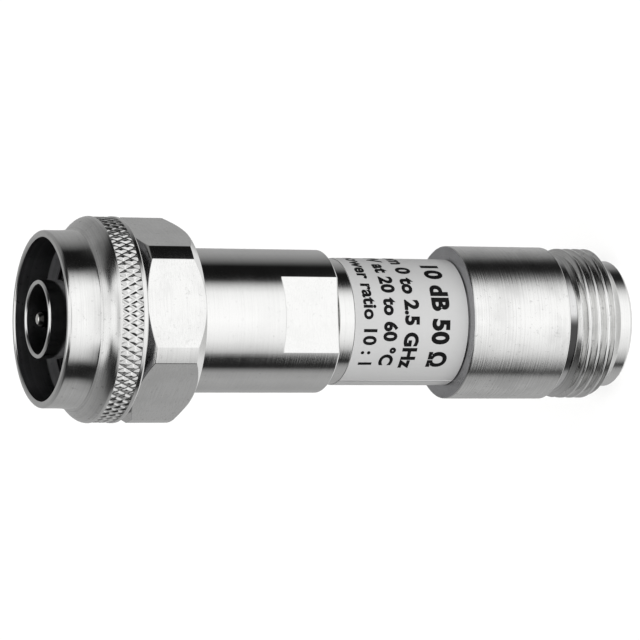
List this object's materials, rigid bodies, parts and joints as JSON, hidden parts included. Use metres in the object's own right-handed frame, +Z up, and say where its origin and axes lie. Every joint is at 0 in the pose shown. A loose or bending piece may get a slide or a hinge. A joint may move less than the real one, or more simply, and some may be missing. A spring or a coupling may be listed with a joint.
{
  "type": "rf attenuator",
  "caption": "In-line coaxial attenuator: a plug with a free-turning knurled and hexagonal coupling nut at one end, a labelled tube, and a threaded jack at the other.",
  "frame": {"origin": "centre of the jack's end face, on which the part stands", "axes": "+Z up the axis of the line, from the jack to the plug; the wrench flats face +Y and -Y"},
  "size_m": [0.021, 0.021, 0.0639],
  "materials": {
    "plated_brass": "satin",
    "bare_brass": "satin",
    "silver_contact": "polished",
    "spring_metal": "satin",
    "gasket_rubber": "matte",
    "white_insulator": "matte",
    "resistor_ceramic": "matte",
    "label_film": "matte"
  },
  "bodies": {
    "attenuator_body": {"retaining_ring": "spring_metal", "mouth_gasket": "gasket_rubber", "plug_body": "plated_brass", "plug_pin": "silver_contact", "plug_insulator": "white_insulator", "plug_rod_sleeve": "silver_contact", "plug_rod": "resistor_ceramic", "disc_collar": "silver_contact", "shunt_disc": "resistor_ceramic", "centre_hub": "silver_contact", "jack_rod": "resistor_ceramic", "jack_rod_sleeve": "silver_contact", "jack_socket": "silver_contact", "jack_insulator": "white_insulator", "plug_spacer": "bare_brass", "jack_spacer": "bare_brass", "spring_washer": "spring_metal", "housing_tube": "plated_brass", "rating_label": "label_film", "jack_body": "plated_brass"},
    "coupling_nut": {"coupling_nut": "plated_brass"}
  },
  "joints": [
    {"name": "nut_spin", "type": "hinge", "parent": "attenuator_body", "child": "coupling_nut", "pos_m": [0, 0, 0.0517], "axis": [0, 0, 1], "continuous": true}
  ]
}
